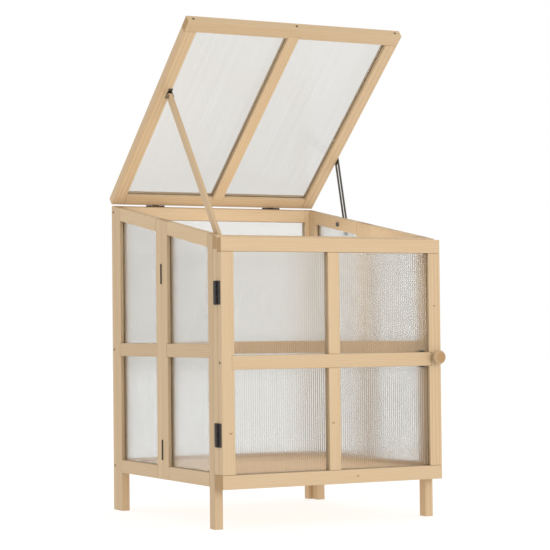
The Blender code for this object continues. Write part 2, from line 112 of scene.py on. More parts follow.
# %% [markdown]
# ## Light and ground
# A studio of white card: light from every side, one broad lamp at the front for the shape, and a weaker
# one at the left. Lamps cast no light through clear sheets here, so a small fill inside the box stands
# for it. The ground is pale and wide and glows a little, so that it runs out into the white behind.

# %% Colour and nodes


def colour(text, alpha=1.0):
    """Linear colour of an sRGB hex value."""
    parts = [int(text[start:start + 2], 16) / 255 for start in (1, 3, 5)]
    linear = [part / 12.92 if part <= 0.04045 else ((part + 0.055) / 1.055) ** 2.4 for part in parts]
    return (*linear, alpha)


def add_node(tree, kind, settings=None, links=None):
    """One shader node: settings go on its sockets or properties, links into its sockets."""
    node = tree.nodes.new("ShaderNode" + kind)
    for name, value in (settings or {}).items():
        if isinstance(name, int) or name in node.inputs:
            node.inputs[name].default_value = value
        else:
            setattr(node, name, value)
    for name, socket in (links or {}).items():
        tree.links.new(socket, node.inputs[name])
    return node


def new_material(name, settings):
    """Material with one Principled shader; returns it, its tree and its shader."""
    made = bpy.data.materials.new(name)
    made.use_nodes = True
    tree = made.node_tree
    shader = tree.nodes["Principled BSDF"]
    for socket, value in settings.items():
        shader.inputs[socket].default_value = value
    return made, tree, shader


# %% Ground, sky and lamps
AMBIENT = 0.94
GROUND = 14.0
GROUND_GLOW = 0.76
LAMP_TARGET = (0, 0, 0.55)
KEY_PLACE, KEY_SIZE, KEY_POWER = (0.3, -4.2, 1.3), 1.8, 50.0
SIDE_PLACE, SIDE_SIZE, SIDE_POWER = (-3.2, -1.0, 2.2), 2.4, 6.0
FILL_PLACE, FILL_RADIUS, FILL_POWER = (0.0, 0.0, 0.58), 0.15, 2.6

scene = bpy.context.scene
scene.view_settings.view_transform = "Standard"
world = bpy.data.worlds.new("white_card")
world.use_nodes = True
scene.world = world
sky = world.node_tree
sky_light = sky.nodes["Background"]
sky_light.inputs["Color"].default_value = colour("#fffdfa")
sky_light.inputs["Strength"].default_value = AMBIENT
seen = add_node(sky, "Background", {"Color": colour("#ffffff"), "Strength": 1.0})
ray = add_node(sky, "LightPath")
sky_mix = add_node(sky, "MixShader", {}, {0: ray.outputs["Is Camera Ray"], 1: sky_light.outputs[0],
                                          2: seen.outputs[0]})
sky.links.new(sky_mix.outputs[0], sky.nodes["World Output"].inputs["Surface"])

bm = bmesh.new()
bmesh.ops.create_grid(bm, x_segments=1, y_segments=1, size=GROUND)
ground_mesh = bpy.data.meshes.new("ground")
bm.to_mesh(ground_mesh)
bm.free()
ground = bpy.data.objects.new("ground", ground_mesh)
scene.collection.objects.link(ground)
# Matt paper: its faint tooth breaks up the light, so no sheen shows.
paper_settings = {"Base Color": colour("#8e8e8d"), "Roughness": 0.9, "Emission Color": colour("#ffffff"),
                  "Emission Strength": GROUND_GLOW}
paper, tree, shader = new_material("pale_paper", paper_settings)
place = add_node(tree, "TexCoord").outputs["Object"]
mottle = add_node(tree, "TexNoise", {"Scale": 40.0, "Detail": 3.0}, {"Vector": place})
tooth = add_node(tree, "Bump", {"Strength": 0.05, "Distance": MM}, {"Height": mottle.outputs["Fac"]})
tree.links.new(tooth.outputs["Normal"], shader.inputs["Normal"])
ground_mesh.materials.append(paper)


def lamp(name, place, size, power):
    """Square soft lamp that faces the middle of the box."""
    data = bpy.data.lights.new(name, "AREA")
    data.size = size
    data.energy = power
    made = bpy.data.objects.new(name, data)
    made.location = place
    made.rotation_euler = (Vector(LAMP_TARGET) - Vector(place)).to_track_quat("-Z", "Y").to_euler()
    scene.collection.objects.link(made)


lamp("key_lamp", KEY_PLACE, KEY_SIZE, KEY_POWER)
lamp("side_lamp", SIDE_PLACE, SIDE_SIZE, SIDE_POWER)
fill_light = bpy.data.lights.new("inner_fill", "POINT")
fill_light.energy = FILL_POWER
fill_light.shadow_soft_size = FILL_RADIUS
fill_lamp = bpy.data.objects.new("inner_fill", fill_light)
fill_lamp.location = FILL_PLACE
fill_lamp.visible_camera = False
fill_lamp.visible_glossy = False
fill_lamp.visible_transmission = False
scene.collection.objects.link(fill_lamp)

# %% [markdown]
# ## Planed fir
# Fir is pale and straight in the grain, with bands of late wood 2 to 4 mm apart, fine fibre lines and
# small tight knots. The bands come from a ring pattern whose centre lies well outside the batten, as
# the heart of the tree does, so they run along the faces and show as arcs on the sawn ends. The ends
# drink more varnish and are darker.

# %% Fir
RING = 3.4 * MM
FIBRE = 0.55 * MM
RING_STRETCH = (0.05, 1, 1)
FIBRE_STRETCH = (0.012, 1, 1)
RINGS_PER_SCALE = 20 / (2 * math.pi)
FIR_EARLY = "#c6ae8c"
FIR_LATE = "#b4936c"
FIR_END = "#a17c4e"
KNOT = "#8a6341"
KNOT_SQUEEZE = (0.75, 1.0, 1.6)
GRAIN_TURN = {"x": (0, 0, 0), "y": (0, 0, math.radians(-90)), "z": (0, math.radians(90), 0)}


def knot_mask(tree, place, knot):
    """How much of a knot shows at each place: a small soft-edged lens where a branch crosses the face."""
    centre, radius = knot
    offset = add_node(tree, "VectorMath", {"operation": "SUBTRACT", 1: centre}, {0: place})
    squeezed = add_node(tree, "VectorMath", {"operation": "MULTIPLY", 1: KNOT_SQUEEZE},
                        {0: offset.outputs[0]})
    away = add_node(tree, "VectorMath", {"operation": "LENGTH"}, {0: squeezed.outputs[0]})
    mask = add_node(tree, "MapRange", {"interpolation_type": "SMOOTHSTEP", "From Min": radius,
                                       "From Max": radius * 0.2, "To Max": 0.75},
                    {"Value": away.outputs["Value"]})
    return mask.outputs["Result"]


def fir(name, along, seed, tilt=0.0, shade=1.0, knots=(), tones=(FIR_EARLY, FIR_LATE)):
    """Planed and varnished fir with its grain along one axis, which may be tilted with the lid."""
    chance = random.Random(seed)
    made, tree, shader = new_material("planed_fir_" + name, {"Roughness": 0.5, "IOR": 1.45})
    coordinates = add_node(tree, "TexCoord")
    place = coordinates.outputs["Object"]
    level = add_node(tree, "Mapping", {"Rotation": (tilt, 0, 0)}, {"Vector": place})
    turned = add_node(tree, "Mapping", {"Rotation": GRAIN_TURN[along]}, {"Vector": level.outputs[0]})
    heart = (chance.uniform(-1, 1), chance.choice((-1, 1)) * chance.uniform(0.5, 0.9),
             chance.uniform(0.4, 0.9))
    shifted = add_node(tree, "Mapping", {"Location": heart, "Scale": RING_STRETCH},
                       {"Vector": turned.outputs[0]})
    rings = add_node(tree, "TexWave", {"wave_type": "RINGS", "rings_direction": "X", "Distortion": 5.0,
                                       "Scale": 1 / (RING * RINGS_PER_SCALE), "Detail": 2.0,
                                       "Detail Scale": 0.012}, {"Vector": shifted.outputs[0]})
    stretched = add_node(tree, "Mapping", {"Location": heart, "Scale": FIBRE_STRETCH},
                         {"Vector": turned.outputs[0]})
    fibres = add_node(tree, "TexNoise", {"Scale": 1 / (2 * FIBRE), "Detail": 2.0},
                      {"Vector": stretched.outputs[0]})
    clouds = add_node(tree, "TexNoise", {"Scale": 9.0, "Detail": 3.0}, {"Vector": shifted.outputs[0]})
    early = [value * shade for value in colour(tones[0])[:3]] + [1.0]
    late = [value * shade for value in colour(tones[1])[:3]] + [1.0]
    late_part = add_node(tree, "MapRange", {"From Min": 0.35, "To Max": 0.62},
                         {"Value": rings.outputs["Fac"]})
    banded = add_node(tree, "Mix", {"data_type": "RGBA", 6: early, 7: late},
                      {0: late_part.outputs["Result"]})
    fibre_part = add_node(tree, "MapRange", {"From Min": 0.35, "From Max": 0.7, "To Max": 0.45},
                          {"Value": fibres.outputs["Fac"]})
    fibred = add_node(tree, "Mix", {"data_type": "RGBA", 7: late}, {0: fibre_part.outputs["Result"],
                                                                    6: banded.outputs[2]})
    cloud_part = add_node(tree, "MapRange", {"From Min": 0.3, "From Max": 0.7, "To Max": 0.5},
                          {"Value": clouds.outputs["Fac"]})
    light = [min(1.0, value * 1.10) for value in early[:3]] + [1.0]
    mixed = add_node(tree, "Mix", {"data_type": "RGBA", 7: light}, {0: cloud_part.outputs["Result"],
                                                                    6: fibred.outputs[2]})
    result = mixed.outputs[2]
    for knot in knots:
        mask = knot_mask(tree, place, knot)
        knotted = add_node(tree, "Mix", {"data_type": "RGBA", 7: colour(KNOT)}, {0: mask, 6: result})
        result = knotted.outputs[2]
    end_axis = Matrix.Rotation(-tilt, 3, "X") @ Vector([float(along == letter) for letter in "xyz"])
    facing = add_node(tree, "VectorMath", {"operation": "DOT_PRODUCT", 1: end_axis},
                      {0: coordinates.outputs["Normal"]})
    on_end = add_node(tree, "Math", {"operation": "ABSOLUTE"}, {0: facing.outputs["Value"]})
    end_part = add_node(tree, "MapRange", {"From Min": 0.75, "From Max": 0.95, "To Max": 0.85},
                        {"Value": on_end.outputs[0]})
    ended = add_node(tree, "Mix", {"data_type": "RGBA", 7: colour(FIR_END)}, {0: end_part.outputs["Result"],
                                                                              6: result})
    tree.links.new(ended.outputs[2], shader.inputs["Base Color"])
    gloss = add_node(tree, "MapRange", {"To Min": 0.44, "To Max": 0.60}, {"Value": fibres.outputs["Fac"]})
    tree.links.new(gloss.outputs["Result"], shader.inputs["Roughness"])
    relief = add_node(tree, "Bump", {"Strength": 0.25, "Distance": 0.15 * MM},
                      {"Height": fibres.outputs["Fac"]})
    tree.links.new(relief.outputs["Normal"], shader.inputs["Normal"])
    return made


# %% Fir on every batten
FACE_Y = ring_low.y - 22 * MM
KNOTS = {
    "door_left_stile": (((LEFT + 21 * MM, FACE_Y, 0.218), 5.0 * MM),),
    "lower_mullion": (((-0.013, FACE_Y, 0.234), 4.6 * MM),),
    "door_bottom_rail": (((0.051, FACE_Y, 0.109), 4.6 * MM),),
    "door_right_stile": (((RIGHT - 17 * MM, FACE_Y, 0.503), 4.6 * MM),),
}


def grain_of(node):
    """The long axis of a batten, seen with the lid laid flat if it is the lid's."""
    low, high = corners(node)
    size = high - low
    if node.startswith("lid_"):
        return "x" if size.x > 0.4 else "y"
    return "xyz"[max(range(3), key=lambda i: size[i])]


def paint(node, material):
    """Give a measured part its finish; its mesh stays as it is."""
    mesh = frame["nodes"][node].data
    mesh.materials.clear()
    mesh.materials.append(material)


plain = ("pane", "hinge", "knob", "stay", "wing_nut", "floor_board", "prop", "front_frame", "door_cross")
battens = [name for name in sorted(frame["nodes"]) if not any(word in name for word in plain)]
for number, name in enumerate(battens):
    tilt = LID_OPEN if name.startswith("lid_") else 0.0
    shade = random.Random(number + 7).uniform(0.95, 1.05)
    paint(name, fir(name, grain_of(name), number, tilt, shade, KNOTS.get(name, ())))
print("fir battens:", len(battens))

# %% [markdown]
# ## Prop stick and floor board
# The prop stick is a thinner, slightly darker lath that leans inside the box, so its grain is turned by
# its lean. The floor is a pale thin board, seen through the panes and the open door, so it keeps the same
# figure in a lighter and warmer pair of tones.

# %% Prop and floor
FLOOR_EARLY = "#f0cfa4"
FLOOR_LATE = "#deb484"
prop_low, prop_high = corners("prop")
PROP_LEAN = math.atan2(prop_high.y - prop_low.y, prop_high.z - prop_low.z)
paint("prop", fir("prop", "z", 91, PROP_LEAN, 0.93))
paint("floor_board", fir("floor_board", "x", 92, tones=(FLOOR_EARLY, FLOOR_LATE)))
print(f"prop leans {math.degrees(PROP_LEAN):.0f} degrees")

# %% [markdown]
# ## Metal and plastic
# The hinges are stamped steel, stoved black; the stay is plain steel, darkened and drawn through a die
# along its length; screws and bracket are zinc plated; the wing nut is moulded nylon. Each gets a
# fine unevenness of gloss, which is what tells thin paint, drawn metal and moulded plastic apart.

# %% Metal and plastic


def uneven(name, settings, grit, gloss, bump, stretch=(1, 1, 1), tilt=0.0):
    """Finish whose gloss and surface vary with a fine noise; stretch draws the noise out."""
    made, tree, shader = new_material(name, settings)
    place = add_node(tree, "TexCoord").outputs["Object"]
    level = add_node(tree, "Mapping", {"Rotation": (tilt, 0, 0)}, {"Vector": place})
    drawn = add_node(tree, "Mapping", {"Scale": stretch}, {"Vector": level.outputs[0]})
    noise = add_node(tree, "TexNoise", {"Scale": 1 / grit, "Detail": 3.0}, {"Vector": drawn.outputs[0]})
    rough = add_node(tree, "MapRange", {"To Min": gloss[0], "To Max": gloss[1]},
                     {"Value": noise.outputs["Fac"]})
    tree.links.new(rough.outputs["Result"], shader.inputs["Roughness"])
    relief = add_node(tree, "Bump", {"Strength": bump, "Distance": 0.1 * MM},
                      {"Height": noise.outputs["Fac"]})
    tree.links.new(relief.outputs["Normal"], shader.inputs["Normal"])
    return made


stoved_black = uneven("stoved_black_steel", {"Base Color": colour("#211a1b"), "Metallic": 0.0},
                      0.8 * MM, (0.45, 0.62), 0.25)
zinc = uneven("zinc_plated_steel", {"Base Color": colour("#8c8b88"), "Metallic": 1.0},
              0.6 * MM, (0.28, 0.42), 0.1)
stay_low, stay_high = corners("stay")
STAY_LEAN = -math.atan2(stay_high.y - stay_low.y, stay_high.z - stay_low.z)
dark_steel = uneven("drawn_dark_steel", {"Base Color": colour("#6d6c6b"), "Metallic": 1.0},
                    0.4 * MM, (0.30, 0.48), 0.15, (1, 1, 0.02), STAY_LEAN)
black_screw = uneven("blackened_screw", {"Base Color": colour("#3a3230"), "Metallic": 0.6},
                     0.5 * MM, (0.35, 0.5), 0.1)
nylon = uneven("black_nylon", {"Base Color": colour("#1d1c1c"), "IOR": 1.53}, 0.5 * MM, (0.42, 0.52), 0.3)
for name in ("stay", "stay_bolt"):
    paint(name, dark_steel)
for name in ("stay_pivot_screw", "prop_bracket"):
    paint(name, zinc)
print("metal finishes ready")

# %% [markdown]
# ## A helper for finished pieces
# Each piece is made in a bmesh, placed by moving its points, given its material and tied to the body that
# carries it; the measured parts whose look it takes over are hidden.

# %% Finished pieces


def piece(name, bm, material, body, replaced=(), smooth=40):
    """Object at the origin from a bmesh, smooth but for edges sharper than an angle."""
    bmesh.ops.recalc_face_normals(bm, faces=bm.faces)
    mesh = bpy.data.meshes.new(name)
    bm.to_mesh(mesh)
    bm.free()
    mesh.shade_smooth()
    mesh.set_sharp_from_angle(angle=math.radians(smooth))
    mesh.materials.append(material)
    made = bpy.data.objects.new(name, mesh)
    scene.collection.objects.link(made)
    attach(made, body)
    if replaced:
        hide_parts(*replaced)
    return made


def block(bm, low, high):
    """Box between two corners; returns its vertices."""
    low = Vector(low)
    size = Vector(high) - low
    place = Matrix.Translation(low + size / 2) @ Matrix.Diagonal((*size, 1))
    return bmesh.ops.create_cube(bm, size=1.0, matrix=place)["verts"]


def bevel(bm, edges, width, segments=3):
    bmesh.ops.bevel(bm, geom=edges, affect="EDGES", offset=width, segments=segments, profile=0.5,
                    material=-1)


def turned(bm, profile, place, steps=40):
    """Solid turned from (radius, height) points about Z, then placed."""
    verts = [bm.verts.new((radius, 0, height)) for radius, height in profile]
    edges = [bm.edges.new(pair) for pair in zip(verts, verts[1:])]
    before = set(bm.verts) - set(verts)
    bmesh.ops.spin(bm, geom=verts + edges, cent=(0, 0, 0), axis=(0, 0, 1), dvec=(0, 0, 0),
                   angle=2 * math.pi, steps=steps, use_merge=True)
    made = [vert for vert in bm.verts if vert not in before]
    bmesh.ops.transform(bm, matrix=place, verts=made)
    bmesh.ops.remove_doubles(bm, verts=made, dist=0.01 * MM)


def facing(place, direction):
    """Matrix that stands a piece made along +Z at a place, pointing in a direction."""
    turn = Vector((0, 0, 1)).rotation_difference(Vector(direction)).to_matrix().to_4x4()
    return Matrix.Translation(place) @ turn


# %% [markdown]
# ## Glued frames
# Two measured parts are one solid each where the real ones are several battens: the ring behind the door
# and the cross that divides it. Grain shows the difference, because a ring cut from one board would have
# end grain down its whole edge. So each is built again from its battens, every one with its own grain
# and eased edges. Rails run the full width and the uprights stand between them.

# %% Glued frames
EASED = 1.3 * MM
SEAM = 0.15 * MM


def batten(name, low, high, along, seed, body, replaced=(), planed=0.0):
    """Batten of the ring or the door; its front top edge may be planed down to the lid's slope."""
    bm = bmesh.new()
    verts = block(bm, low, high)
    for vert in verts:
        if vert.co.z > high[2] - MM and vert.co.y < (low[1] + high[1]) / 2:
            vert.co.z -= planed
    bevel(bm, bm.edges[:], EASED, 3)
    wood = fir(name, along, seed, knots=KNOTS.get(name, ()))
    return piece(name, bm, wood, body, replaced)


BATTEN = corners("rear_left_stile")[1].x - LEFT
upper = ring_high.z - BATTEN
lower = ring_low.z + BATTEN
batten("ring_top_rail", (LEFT, ring_low.y, upper), ring_high, "x", 60, "root", ("front_frame",),
       SLOPE * (ring_high.y - ring_low.y))
batten("ring_bottom_rail", ring_low, (RIGHT, ring_high.y, lower), "x", 61, "root")
for label, x, seed in (("left", LEFT, 62), ("right", RIGHT - BATTEN, 63)):
    foot = (x, ring_low.y, lower + SEAM)
    head = (x + BATTEN, ring_high.y, upper - SEAM)
    batten("ring_" + label + "_stile", foot, head, "z", seed, "root")

cross_low, cross_high = corners("door_cross")
MULLION_HALF = 15 * MM
RAIL_DROP = 26.5 * MM
rail_low = corners("left_front_mid_rail")[0].z - RAIL_DROP
rail_high = rail_low + BATTEN
batten("door_mid_rail", (cross_low.x, cross_low.y, rail_low), (cross_high.x, cross_high.y, rail_high),
       "x", 64, "door", ("door_cross",))
for label, foot, head, seed in (("lower", cross_low.z, rail_low - SEAM, 65),
                                ("upper", rail_high + SEAM, cross_high.z, 66)):
    batten(label + "_mullion", (-MULLION_HALF + (LEFT + RIGHT) / 2, cross_low.y, foot),
           (MULLION_HALF + (LEFT + RIGHT) / 2, cross_high.y, head), "z", seed, "door")
print(f"mid rail of the door at {rail_low:.3f} m")

# %% [markdown]
# ## Twin-wall sheet
# The sheet is two thin skins joined by upright ribs a few millimetres apart. Between the ribs the skins
# sink a little, so each flute is a weak upright lens: level edges behind the sheet stay sharp while
# upright ones are smeared sideways. A flat glass slab would miss that, and separate skins and ribs would
# cost a dozen surfaces on every ray. So one closed slab is made with a shallow hollow along every flute,
# and its UV map counts the flutes, so that the finish can draw a rib at every whole number. The lid's
# sheet has flatter skins, as nothing behind it shows smeared.

# %% Twin-wall sheet
RIB_PITCH = 5.6 * MM
HOLLOW = 0.75 * MM
LID_HOLLOW = 0.12 * MM
STEPS_PER_FLUTE = 4
RIB_PART = 0.07
SHEET_CLEAR = "#eff0ef"
SHEET_RIB = "#e2e1df"


def sheet_finish():
    """Clear plastic, a little grey in its ribs and unevenly clear from flute to flute."""
    settings = {"Roughness": 0.04, "IOR": 1.32, "Transmission Weight": 0.99, "Alpha": 0.92,
                "Specular IOR Level": 0.25}
    made, tree, shader = new_material("twin_wall_polycarbonate", settings)
    flutes = add_node(tree, "UVMap", {"uv_map": "flutes"})
    parts = add_node(tree, "SeparateXYZ", {}, {0: flutes.outputs["UV"]})
    to_rib = add_node(tree, "Math", {"operation": "PINGPONG", 1: 0.5}, {0: parts.outputs["X"]})
    rib = add_node(tree, "MapRange", {"From Min": RIB_PART * 2, "From Max": RIB_PART},
                   {"Value": to_rib.outputs[0]})
    streak_place = add_node(tree, "Mapping", {"Scale": (0.9, 0.01, 1)}, {"Vector": flutes.outputs["UV"]})
    streaks = add_node(tree, "TexNoise", {"Scale": 1.0, "Detail": 3.0}, {"Vector": streak_place.outputs[0]})
    streak = add_node(tree, "MapRange", {"From Min": 0.3, "From Max": 0.8, "To Max": 0.5},
                      {"Value": streaks.outputs["Fac"]})
    amount = add_node(tree, "Math", {"operation": "MAXIMUM"}, {0: rib.outputs["Result"],
                                                               1: streak.outputs["Result"]})
    mixed = add_node(tree, "Mix", {"data_type": "RGBA", 6: colour(SHEET_CLEAR), 7: colour(SHEET_RIB)},
                     {0: amount.outputs[0]})
    tree.links.new(mixed.outputs[2], shader.inputs["Base Color"])
    return made


def twin_wall(name, body, low, high, thin, place=Matrix(), roof=None, depth=HOLLOW):
    """Fluted slab between two corners; thin is the axis across the sheet."""
    bm = bmesh.new()
    verts = block(bm, low, high)
    wide = 1 if thin == 0 else 0
    tall = 3 - thin - wide
    count = round((high[wide] - low[wide]) / RIB_PITCH)
    pitch = (high[wide] - low[wide]) / count
    across = [edge for edge in bm.edges if abs(edge.verts[0].co[wide] - edge.verts[1].co[wide]) > MM]
    bmesh.ops.subdivide_edges(bm, edges=across, cuts=count * STEPS_PER_FLUTE - 1, use_grid_fill=True)
    centre = (low[thin] + high[thin]) / 2
    for vert in bm.verts:
        part = ((vert.co[wide] - low[wide]) / pitch) % 1.0
        hollow = depth * 4 * part * (1 - part)
        vert.co[thin] += hollow if vert.co[thin] < centre else -hollow
    flutes = bm.loops.layers.uv.new("flutes")
    for face in bm.faces:
        for loop in face.loops:
            offset = loop.vert.co - Vector(low)
            loop[flutes].uv = (offset[wide] / pitch, offset[tall] / pitch)
    if roof is not None:
        point, normal = roof
        geometry = bm.verts[:] + bm.edges[:] + bm.faces[:]
        cut = bmesh.ops.bisect_plane(bm, geom=geometry, plane_co=point, plane_no=normal, clear_outer=True)
        open_edges = [item for item in cut["geom_cut"] if isinstance(item, bmesh.types.BMEdge)]
        bmesh.ops.holes_fill(bm, edges=open_edges, sides=0)
    bmesh.ops.transform(bm, matrix=place, verts=bm.verts)
    return piece(name + "_twin_wall", bm, sheet, body, (name,))


sheet = sheet_finish()
roof_normal = Vector((0, -SLOPE, 1)).normalized()
for name in sorted(frame["nodes"]):
    if not name.endswith("_pane") or name == "lid_pane":
        continue
    low, high = corners(name)
    if name.startswith(("left_", "right_")):
        top = (low.x, high.y, high.z)
        twin_wall(name, "root", low, high, 0, roof=(top, roof_normal))
    else:
        twin_wall(name, "door" if name.startswith("door_") else "root", low, high, 1)


def lid_corners(node):
    """Corners of a lid part with the lid laid flat in its own frame."""
    flat = LID_PLACE.inverted()
    points = [flat @ vert.co for vert in frame["nodes"][node].data.vertices]
    low = Vector([min(point[i] for point in points) for i in range(3)])
    high = Vector([max(point[i] for point in points) for i in range(3)])
    return low, high


low, high = lid_corners("lid_pane")
twin_wall("lid_pane", "lid", low, high, 2, LID_PLACE, depth=LID_HOLLOW)
print("twin-wall sheets:", sum(name.endswith("_pane") for name in frame["nodes"]))

# %% [markdown]
# ## Screws
# Countersunk wood screws hold the corners. The head is turned, and the cross is cut into it with a
# Boolean once; that one mesh is then copied to every place. All the screws of one body are one piece.

# %% Screws
HEAD = 3.3 * MM
HEAD_OUTLINE = ((0, -1.2), (0.55, -1.2), (1, 0.0), (0.96, 0.22), (0.6, 0.42), (0, 0.5))
RECESS_LONG, RECESS_WIDE = 0.62, 0.13


def screw_mesh():
    """Screw head of the right size at the origin, facing +Z, with a cross recess."""
    bm = bmesh.new()
    profile = [(HEAD * across, up * MM) for across, up in HEAD_OUTLINE]
    turned(bm, profile, Matrix(), 28)
    bmesh.ops.recalc_face_normals(bm, faces=bm.faces)
    head = bpy.data.meshes.new("screw_head")
    bm.to_mesh(head)
    bm.free()
    bm = bmesh.new()
    long, wide = HEAD * RECESS_LONG, HEAD * RECESS_WIDE
    block(bm, (-long, -wide, -0.5 * MM), (long, wide, MM))
    cross = bpy.data.meshes.new("screw_cross")
    block(bm, (-wide, -long, -0.45 * MM), (wide, long, 0.95 * MM))
    bm.to_mesh(cross)
    bm.free()
    solid = bpy.data.objects.new("screw_head", head)
    tool = bpy.data.objects.new("screw_cross", cross)
    for item in (solid, tool):
        scene.collection.objects.link(item)
    cut = solid.modifiers.new("cross", "BOOLEAN")
    cut.object = tool
    cut.use_self = True
    evaluated = solid.evaluated_get(bpy.context.evaluated_depsgraph_get())
    made = bpy.data.meshes.new_from_object(evaluated)
    for item in (solid, tool):
        bpy.data.objects.remove(item, do_unlink=True)
    return made


SCREW = screw_mesh()


def add_screws(bm, places, size=1.0):
    """Copies of the screw at (place, direction) pairs."""
    for place, direction in places:
        before = set(bm.verts)
        bm.from_mesh(SCREW)
        fresh = [vert for vert in bm.verts if vert not in before]
        bmesh.ops.transform(bm, matrix=facing(place, direction) @ Matrix.Scale(size, 4), verts=fresh)


bm = bmesh.new()
for node in ("rear_bottom_rail", "rear_mid_rail", "rear_top_rail"):
    centre = middle(node)
    add_screws(bm, (((LEFT, centre.y, centre.z), (-1, 0, 0)), ((RIGHT, centre.y, centre.z), (1, 0, 0))))
stile_low, stile_high = corners("right_front_near_stile")
STILE_SLOPE_DROP = 2.6 * MM
stile_top = (*((stile_low + stile_high) / 2).xy, stile_high.z - STILE_SLOPE_DROP)
add_screws(bm, ((stile_top, roof_normal),))
piece("rear_frame_screws", bm, black_screw, "root")

bm = bmesh.new()
door_y = middle("door_cross").y
rail_z = (rail_low + rail_high) / 2
for x, side in ((LEFT, -1), (RIGHT, 1)):
    add_screws(bm, (((x, door_y, rail_z), (side, 0, 0)),))
piece("door_screws", bm, black_screw, "door")

bm = bmesh.new()
front_low, front_high = lid_corners("lid_front_rail")
lid_middle = (front_low + front_high) / 2
for node in ("lid_left_rail", "lid_mullion", "lid_right_rail"):
    low, high = lid_corners(node)
    add_screws(bm, (((low.x / 2 + high.x / 2, front_low.y, lid_middle.z), (0, -1, 0)),))
bmesh.ops.transform(bm, matrix=LID_PLACE, verts=bm.verts)
piece("lid_screws", bm, black_screw, "lid")
print("one screw head:", len(SCREW.vertices), "points")

# %% [markdown]
# ## Butt hinges
# A stamped hinge is a leaf with rounded corners whose edge is rolled into knuckles. Each leaf is made
# in its own frame, with the barrel along Z and the leaf along Y, and the two leaves share the barrel:
# the moving leaf has the middle third, the fixed leaf both ends.

# %% Butt hinges
LEAF = 1.5 * MM
BARREL = 3.0 * MM
BARREL_OUT = 1.5 * MM
LEAF_WIDE = 16.5 * MM
LEAF_CORNER = 2.2 * MM
LEAF_STANDOFF = 0.8 * MM
LEAF_RIM = 0.25 * MM
LEAF_LAP = 0.4 * MM
KNUCKLE_GAP = 0.3 * MM
KNUCKLE_SOFT = 0.3 * MM
HINGE_SCREW_SIZE = 0.72
HINGE_SCREW_SUNK = 0.15 * MM
HINGE_SCREW_PLACES = (0.2, 0.8)
TOUCHING = MM / 10


def hinge_leaf(name, long, side, place, body, node):
    """One leaf with its knuckles; side is -1 for the moving leaf and 1 for the fixed one."""
    third = long / 3
    bm = bmesh.new()
    inner = BARREL + LEAF_STANDOFF
    near, far = sorted((side * inner, side * LEAF_WIDE))
    block(bm, (BARREL_OUT, near, 0), (BARREL_OUT + LEAF, far, long))
    outer = side * LEAF_WIDE
    posts = [edge for edge in bm.edges if all(abs(vert.co.y - outer) < TOUCHING for vert in edge.verts)
             and abs(edge.verts[0].co.x - edge.verts[1].co.x) > MM / 2]
    bevel(bm, posts, LEAF_CORNER, 5)
    rims = [edge for edge in bm.edges if all(vert.co.x < BARREL_OUT + TOUCHING for vert in edge.verts)]
    bevel(bm, rims, LEAF_RIM, 2)
    spans = ((third + KNUCKLE_GAP, 2 * third - KNUCKLE_GAP),)
    if side > 0:
        spans = ((0, third - KNUCKLE_GAP), (2 * third + KNUCKLE_GAP, long))
    for start, end in spans:
        near, far = sorted((0, side * (inner + LEAF_LAP)))
        block(bm, (BARREL_OUT, near, start), (BARREL_OUT + LEAF, far, end))
        high = end - start
        rim = BARREL - KNUCKLE_SOFT
        profile = ((0, 0), (rim, 0), (BARREL, KNUCKLE_SOFT), (BARREL, high - KNUCKLE_SOFT), (rim, high),
                   (0, high))
        turned(bm, profile, Matrix.Translation((0, 0, start)), 24)
    bmesh.ops.transform(bm, matrix=place, verts=bm.verts)
    piece(name, bm, stoved_black, body, (node,), 30)
    bm = bmesh.new()
    across = side * (inner + LEAF_WIDE) / 2
    sunk = BARREL_OUT + HINGE_SCREW_SUNK
    places = [((sunk, across, long * part), (-1, 0, 0)) for part in HINGE_SCREW_PLACES]
    add_screws(bm, places, HINGE_SCREW_SIZE)
    bmesh.ops.transform(bm, matrix=place, verts=bm.verts)
    piece(name + "_screws", bm, black_screw, body)


door_axis = joint_place["door_hinge"]
for label in ("lower", "upper"):
    node = "door_" + label + "_hinge"
    low, high = corners(node + "_frame_leaf")
    place = Matrix.Translation((door_axis.x, door_axis.y, low.z))
    hinge_leaf(node + "_moving", high.z - low.z, -1, place, "door", node + "_leaf")
    hinge_leaf(node + "_fixed", high.z - low.z, 1, place, "root", node + "_frame_leaf")

along_x = Matrix(((0, 0, 1), (-1, 0, 0), (0, -1, 0))).to_4x4()
lid_axis = joint_place["lid_hinge"]
for label in ("left", "right"):
    node = "lid_" + label + "_hinge"
    low, high = corners(node + "_frame_leaf")
    long = high.x - low.x
    fixed = Matrix.Translation((low.x, lid_axis.y, lid_axis.z)) @ along_x
    moving = LID_PLACE @ Matrix.Translation((low.x - lid_axis.x, 0, 0)) @ along_x
    hinge_leaf(node + "_moving", long, -1, moving, "lid", node + "_leaf")
    hinge_leaf(node + "_fixed", long, 1, fixed, "root", node + "_frame_leaf")
print("butt hinges: 4")

# %% [markdown]
# ## Fold hinges in the side walls
# The two halves of each side wall are joined by narrow hinges whose leaves lie in the seam, so that the
# empty box folds flat. Only their barrels show, outside the seam.

